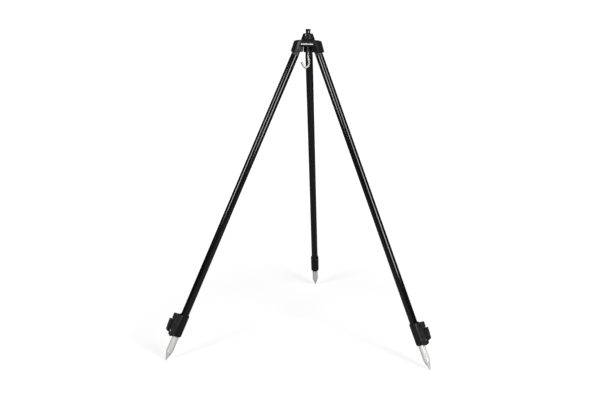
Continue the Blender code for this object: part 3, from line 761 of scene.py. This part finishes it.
def show_hook():
    washer = baked(turned([
        (0.0043, BOSS_TOP + GAP), (0.0078, BOSS_TOP + GAP), (0.0078, BOSS_TOP + 0.0011),
        (0.0043, BOSS_TOP + 0.0011),
    ], 72, 0.0002))
    top = HEAD_ROOF - 0.0025
    lock_nut = hex_nut((0, 0, top), (0, 0, top - 0.0062), 0.0075, 0.0043)
    pieces = [
        ("hook_rod", merged(hook_rod(), stem_thread()), "hook", "hook"),
        ("cap_nut", knob(), "head", "hook_nut"),
        ("cross_pin", baked(pin_rod(0.0085, 0.0010, 0.0003)), "bright", "nut_pin"),
        ("thrust_washer", washer, "black", "hook_washer"),
        ("lock_nut", lock_nut, "black", "hook_lock_nut"),
    ]
    swivel = Vector((0, 0, BOSS_TOP))
    for name, mesh, look, node in pieces:
        mesh.transform(Matrix.Translation(-swivel))
        show(name, mesh, look, "hook_swivel", [node], Matrix.Translation(swivel))


# ---------------------------------------------------------------- legs, in the leg's frame

UPPER_TUBE_RADIUS = 0.0134
UPPER_TUBE_WALL = 0.0012
LOWER_TUBE_RADIUS = 0.0116
LOWER_TUBE_WALL = 0.0010
UPPER_TUBE_TOP = -0.0243  # Z in the leg's frame
UPPER_TUBE_BOTTOM = 0.128  # this and the rest are distances from the spike's point
LOWER_TUBE_TOP = 1.040
LOWER_TUBE_BOTTOM = 0.0393
GUIDE_SEAT = 1.0403
SLEEVE_BOTTOM = 0.0935
SLEEVE_TOP = 0.1695
SLEEVE_RADIUS = 0.0170
CLAMP_HALF = 0.0105
LEVER_PIN = (0.031, foot(0.1085))
LEVER_PIN_RADIUS = 0.0024
LEVER_HALF = 0.0098
NOSE_RADIUS = 0.0064
LUG_SCREW = (0.0262, foot(0.1578))
LUG_CENTRE = (0.0262, foot(0.1485))
LEVER_TOP = 0.1460


def across(place, start, end, radius, segments=40, edge=0.0):
    return rod((place[0], start, place[1]), (place[0], end, place[1]), radius, segments, edge)


def pivot_bolt():
    shank = rod((0, -0.0186, 0), (0, 0.0170, 0), PIVOT_BOLT_RADIUS, 40, 0.0003)
    turn = Matrix.Translation((0, 0.0162, 0)) @ Matrix.Rotation(-pi / 2, 4, "X")
    head = turned([(0, 0), (0.0050, 0), (0.0050, 0.0010), (0.0040, 0.0022), (0.0022, 0.0028),
                   (0, 0.0028)], 64, 0.0009, 4, turn)
    socket = rod((0, 0.0174, 0), (0, 0.03, 0), 0.0019, 6)
    return baked(soften(cut(join(shank, head), socket), 0.00012, 2))


def knuckle():
    half, radius, collar_top, spigot_end = 0.0122, KNUCKLE_RADIUS, -0.0178, -0.0480
    nose = arc((0, 0), radius, 0, 180, 36)
    low = collar_top - 0.001
    tongue = prism([*nose, (-radius, low), (radius, low)], -half, half, 0.0007)
    round_off = rod((0, 0, -0.03), (0, 0, 0.02), 0.0137, 96)
    tube_end = UPPER_TUBE_TOP + GAP
    spigot = UPPER_TUBE_RADIUS - UPPER_TUBE_WALL - GAP
    plug = turned([
        (0, collar_top), (UPPER_TUBE_RADIUS, collar_top), (UPPER_TUBE_RADIUS, tube_end),
        (spigot, tube_end), (spigot, spigot_end), (0, spigot_end),
    ], 96, 0.0006)
    bore = rod((0, -0.03, 0), (0, 0.03, 0), PIVOT_BOLT_RADIUS + GAP, 40)
    return baked(soften(cut(join(common(tongue, round_off), plug), bore), 0.0003, 2))


def tube(radius, wall, low, high, edge):
    return baked(turned([
        (radius - wall, low), (radius, low), (radius, high), (radius - wall, high),
    ], 96, edge))


def housing():
    side = [
        (0.0120, foot(0.0937)), (0.0242, foot(0.0895)), (0.0258, foot(0.0903)),
        (0.0268, foot(0.0990)), *arc(LEVER_PIN, NOSE_RADIUS, -115, 20, 18),
        (0.0335, foot(0.1150)), (0.0335, foot(0.1478)), (0.0360, foot(0.1490)),
        (0.0360, foot(0.1662)), (0.0350, foot(0.1672)), (0.0120, foot(0.1672)),
    ]
    return prism(rounded(side, 0.0010, 3), -CLAMP_HALF, CLAMP_HALF, 0.0006)


def lug_pocket(low, high):
    radius, clear = 0.0082, foot(0.178)
    side = [*arc(LUG_CENTRE, radius, 180, 360, 24), (0.045, LUG_CENTRE[1]), (0.045, clear),
            (LUG_CENTRE[0] - radius, clear)]
    return prism(side, low, high)


def clamp_body():
    fit, guide = UPPER_TUBE_RADIUS + GAP, LOWER_TUBE_RADIUS + GAP
    shoulder = foot(0.1268)
    sleeve = turned([
        (0, foot(SLEEVE_BOTTOM)), (SLEEVE_RADIUS - 0.0016, foot(SLEEVE_BOTTOM)),
        (SLEEVE_RADIUS, foot(SLEEVE_BOTTOM + 0.0022)), (SLEEVE_RADIUS, foot(SLEEVE_TOP - 0.0012)),
        (SLEEVE_RADIUS - 0.0010, foot(SLEEVE_TOP)), (0, foot(SLEEVE_TOP)),
    ], 112, 0.0009)
    bore = turned([
        (0, foot(SLEEVE_BOTTOM) - 0.02), (guide, foot(SLEEVE_BOTTOM) - 0.02), (guide, shoulder),
        (fit, shoulder), (fit, foot(SLEEVE_TOP - 0.0014)), (fit + 0.0024, foot(SLEEVE_TOP + 0.001)),
        (fit + 0.0024, foot(SLEEVE_TOP + 0.02)), (0, foot(SLEEVE_TOP + 0.02)),
    ], 112)
    half, far, pocket = CLAMP_HALF, 0.02, 0.0017
    tools = [
        bore,
        block((0.0172, -0.0060, foot(0.0957)), (0.060, 0.0060, foot(0.1243))),
        block((0.0080, -0.0055, foot(0.0990)), (0.0200, 0.0055, foot(0.1180))),
        block((0.0080, -0.0008, foot(0.1420)), (0.060, 0.0008, foot(0.180))),
        lug_pocket(half - pocket, half + 0.002),
        lug_pocket(-half - 0.002, pocket - half),
        across(LEVER_PIN, -far, far, LEVER_PIN_RADIUS + GAP),
        across(LEVER_PIN, half - 0.0010, far, 0.0043, 56),
        across(LEVER_PIN, 0.0010 - half, -far, 0.0043, 56),
        across(LUG_SCREW, -far, far, 0.0023),
        across(LUG_SCREW, half - 0.0052, far, 0.0041, 56),
        across(LUG_SCREW, -far, 0.0049 - half, 0.0044, 56),
    ]
    return baked(soften(cut(join(sleeve, housing()), *tools), 0.0003, 2, 38))


def lever_back(at):
    lip = 0.1053
    share = (at - lip) / (LEVER_TOP - lip)
    return 0.0404 + 0.0028 * share + 0.0009 * sin(pi * share)


def lever():
    wrap = arc(LEVER_PIN, NOSE_RADIUS + 0.0005, 50, -22, 16)
    ribs = []
    pitch, groove, depth = 0.0055, 0.0017, 0.0008
    for i in range(5):
        middle = 0.1172 + pitch * i
        for at, inset in ((-groove, 0), (-groove / 2, depth), (groove / 2, depth), (groove, 0)):
            ribs.append((lever_back(middle + at) - inset, foot(middle + at)))
    side = [
        (0.0345, foot(LEVER_TOP - 0.0006)), (0.0345, foot(0.1151)), *wrap, (0.0386, foot(0.1045)),
        (0.0402, foot(0.1053)), (lever_back(0.1077), foot(0.1077)), *ribs,
        (lever_back(LEVER_TOP - 0.0012), foot(LEVER_TOP - 0.0012)), (0.0420, foot(LEVER_TOP)),
        (0.0354, foot(LEVER_TOP)),
    ]
    plate = prism(rounded(side, 0.0007, 3), -LEVER_HALF, LEVER_HALF, 0.0008)
    cam = across((LEVER_PIN[0] - 0.0012, LEVER_PIN[1]), -0.0057, 0.0057, 0.0070, 80, 0.0003)
    root = prism([
        (0.0310, foot(0.1045)), (0.0380, foot(0.1057)), (0.0390, foot(0.1215)),
        (0.0350, foot(0.1220)), (0.0300, foot(0.1145)),
    ], -0.0055, 0.0055)
    bore = across(LEVER_PIN, -0.02, 0.02, LEVER_PIN_RADIUS + GAP)
    return baked(soften(cut(join(plate, cam, root), bore), 0.00025, 2))


def lever_pin():
    tip = CLAMP_HALF + 0.0003
    body = across(LEVER_PIN, -tip, tip, LEVER_PIN_RADIUS, 48, 0.0005)
    dimples = [across(LEVER_PIN, side * (tip - 0.0005), side * 0.02, 0.0011, 24) for side in (-1, 1)]
    return baked(soften(cut(body, *dimples), 0.0001, 2))


def brake_pad():
    face = LEVER_PIN[0] - 0.0088
    pad = block((0.0088, -0.0049, foot(0.0996)), (face, 0.0049, foot(0.1174)), 0.0005)
    hollow = rod((0, 0, foot(0.09)), (0, 0, foot(0.13)), LOWER_TUBE_RADIUS + GAP, 96)
    return baked(cut(pad, hollow))


def clamp_screw():
    base = CLAMP_HALF - 0.0049
    shank = across(LUG_SCREW, -0.0092, base + 0.001, 0.0020, 32, 0.0003)
    head = across(LUG_SCREW, base, base + 0.0030, 0.0036, 56, 0.0004)
    socket = across(LUG_SCREW, base + 0.0012, 0.02, 0.0017, 6)
    return baked(soften(cut(join(shank, head), socket), 0.0001, 2))


def spike():
    nose = [(POINT_RADIUS * sin(radians(a)), foot(POINT_RADIUS * (1 - cos(radians(a)))))
            for a in (0, 18, 36, 54, 70)]
    band, plug = LOWER_TUBE_RADIUS, LOWER_TUBE_RADIUS - LOWER_TUBE_WALL - GAP
    shoulder = foot(0.039)
    return baked(turned([
        *nose, (0.0055, foot(0.0160)), (0.0101, foot(0.0300)), (band, foot(0.0360)),
        (band, shoulder), (plug, shoulder), (plug, shoulder + 0.019),
        (plug - 0.001, shoulder + 0.020), (0, shoulder + 0.020),
    ], 96, 0.0004))


def guide_bush():
    run = UPPER_TUBE_RADIUS - UPPER_TUBE_WALL - GAP
    plug, seat = LOWER_TUBE_RADIUS - LOWER_TUBE_WALL - GAP, foot(GUIDE_SEAT)
    return baked(turned([
        (0.006, seat - 0.018), (plug, seat - 0.018), (plug, seat), (run, seat),
        (run, seat + 0.007), (run - 0.001, seat + 0.008), (0.006, seat + 0.008),
    ], 72, 0.0003))


def show_legs():
    nut = hex_nut((0, -0.0151, 0), (0, -0.0182, 0), 0.0055, PIVOT_BOLT_RADIUS + GAP)
    lug_nut = hex_nut((LUG_SCREW[0], 0.0046 - CLAMP_HALF, LUG_SCREW[1]),
                      (LUG_SCREW[0], -0.0082, LUG_SCREW[1]), 0.0040, 0.0023)
    outer = tube(UPPER_TUBE_RADIUS, UPPER_TUBE_WALL, foot(UPPER_TUBE_BOTTOM), UPPER_TUBE_TOP, 0.0003)
    inner = tube(LOWER_TUBE_RADIUS, LOWER_TUBE_WALL, foot(LOWER_TUBE_BOTTOM), foot(LOWER_TUBE_TOP),
                 0.0002)
    pieces = [
        # piece, mesh, look, body, CAD node
        ("fold_bolt", pivot_bolt(), "black", "root", "pivot_bolt"),
        ("fold_nut", nut, "black", "root", "pivot_nut"),
        ("knuckle", knuckle(), "knuckle", "upper_leg", "leg_knuckle"),
        ("outer_tube", outer, "enamel", "upper_leg", "upper_tube"),
        ("clamp", clamp_body(), "clamp", "upper_leg", "clamp_body"),
        ("cam_pin", lever_pin(), "bright", "upper_leg", "lever_pin"),
        ("lug_screw", clamp_screw(), "black", "upper_leg", "clamp_screw"),
        ("lug_nut", lug_nut, "black", "upper_leg", "clamp_nut"),
        ("cam_lever", lever(), "clamp", "lever", "clamp_lever"),
        ("pad", brake_pad(), "rubber", "brake", "brake_pad"),
        ("inner_tube", inner, "drawn", "lower_leg", "lower_tube"),
        ("ground_spike", spike(), "turned", "lower_leg", "spike"),
        ("top_guide", guide_bush(), "nylon", "lower_leg", "guide_bush"),
    ]
    for side in SIDES:
        where = leg_frame(side)
        for name, mesh, look, body, node in pieces:
            rides = body if body == "root" else f"{body}_{side}"
            show(f"{name}_{side}", mesh, look, rides, [f"{node}_{side}"], where)


# ---------------------------------------------------------------- studio


def softbox(name, azimuth, distance, low, high, span, radiance):
    """An upright softbox facing the tripod's axis.

    azimuth runs from -Y towards +X and span is its width, both in degrees seen from the axis;
    distance and the heights of its lower and upper edge are in metres.
    """
    data = bpy.data.lights.new(name, "AREA")
    data.shape = "RECTANGLE"
    data.size = 2 * distance * tan(radians(span) / 2)
    data.size_y = high - low
    data.energy = radiance * pi * data.size * data.size_y
    obj = bpy.data.objects.new(name, data)
    bpy.context.scene.collection.objects.link(obj)
    a = radians(azimuth)
    outward = Vector((sin(a), -cos(a), 0))
    obj.location = outward * distance + Vector((0, 0, (low + high) / 2))
    obj.rotation_euler = outward.to_track_quat("Z", "Y").to_euler()
    obj.visible_camera = False


def pale_world():
    """White to the camera; for light and reflections dark in front and pale behind the tripod."""
    world = bpy.data.worlds.new("studio")
    bpy.context.scene.world = world
    world.use_nodes = True
    nodes, links = world.node_tree.nodes, world.node_tree.links
    backdrop = nodes["Background"]
    backdrop.inputs["Color"].default_value = (1, 1, 1, 1)
    backdrop.inputs["Strength"].default_value = 1.05
    room = nodes.new("ShaderNodeBackground")
    direction = nodes.new("ShaderNodeSeparateXYZ")
    links.new(nodes.new("ShaderNodeTexCoord").outputs["Generated"], direction.inputs[0])
    fade = nodes.new("ShaderNodeMapRange")
    fade.interpolation_type = "SMOOTHSTEP"
    for key, value in (("From Min", -0.10), ("From Max", 0.75), ("To Min", 0.02), ("To Max", 0.20)):
        fade.inputs[key].default_value = value
    links.new(direction.outputs["Y"], fade.inputs["Value"])
    links.new(fade.outputs[0], room.inputs["Strength"])
    choose = nodes.new("ShaderNodeMixShader")
    links.new(nodes.new("ShaderNodeLightPath").outputs["Is Camera Ray"], choose.inputs[0])
    links.new(room.outputs[0], choose.inputs[1])
    links.new(backdrop.outputs[0], choose.inputs[2])
    links.new(choose.outputs[0], nodes["World Output"].inputs["Surface"])


def pale_floor():
    """A wide white disc; its own faint glow keeps it level with the backdrop to the camera."""
    bm = bmesh.new()
    bmesh.ops.create_circle(bm, cap_ends=True, segments=96, radius=14)
    floor = to_object(bm, "floor")
    material = bpy.data.materials.new("white_floor")
    material.use_nodes = True
    nodes, links = material.node_tree.nodes, material.node_tree.links
    shader = nodes["Principled BSDF"]
    shader.inputs["Base Color"].default_value = (0.35, 0.35, 0.35, 1)
    shader.inputs["Roughness"].default_value = 0.9
    shader.inputs["Specular IOR Level"].default_value = 0.0
    shader.inputs["Emission Color"].default_value = (1, 1, 1, 1)
    length = nodes.new("ShaderNodeVectorMath")
    length.operation = "LENGTH"
    links.new(nodes.new("ShaderNodeTexCoord").outputs["Object"], length.inputs[0])
    rise = nodes.new("ShaderNodeMapRange")
    for key, value in (("From Min", 0.6), ("From Max", 2.2), ("To Min", 0.79), ("To Max", 1.1)):
        rise.inputs[key].default_value = value
    links.new(length.outputs["Value"], rise.inputs["Value"])
    seen = nodes.new("ShaderNodeMath")
    seen.operation = "MULTIPLY"
    links.new(rise.outputs[0], seen.inputs[0])
    links.new(nodes.new("ShaderNodeLightPath").outputs["Is Camera Ray"], seen.inputs[1])
    links.new(seen.outputs[0], shader.inputs["Emission Strength"])
    floor.data.materials.append(material)


def studio():
    pale_world()
    pale_floor()
    softbox("right_softbox", azimuth=41.9, distance=2.13, low=0.60, high=3.86, span=16.9,
            radiance=12.3)
    softbox("left_softbox", azimuth=-36.3, distance=6.53, low=2.18, high=6.20, span=17.0,
            radiance=13.0)
    bpy.context.scene.view_settings.view_transform = "Standard"


def camera():
    data = bpy.data.cameras.new("camera")
    obj = bpy.data.objects.new("camera", data)
    bpy.context.scene.collection.objects.link(obj)
    place = (0.2037, -2.2297, 1.038)
    heading, pitch, roll = radians(-1.54), radians(10.97), radians(1.37)
    ahead = Vector((sin(heading) * cos(pitch), cos(heading) * cos(pitch), -sin(pitch)))
    level = ahead.cross(Vector((0, 0, 1))).normalized()
    up = level.cross(ahead)
    right = level * cos(roll) + up * sin(roll)
    top = up * cos(roll) - level * sin(roll)
    turn = Matrix((right, top, -ahead)).transposed().to_4x4()
    obj.matrix_world = Matrix.Translation(place) @ turn
    data.sensor_width = 36
    data.lens = 37.374
    data.shift_x = -0.0762
    data.shift_y = -0.0355
    bpy.context.scene.camera = obj


show_head()
show_hook()
show_legs()
studio()
camera()
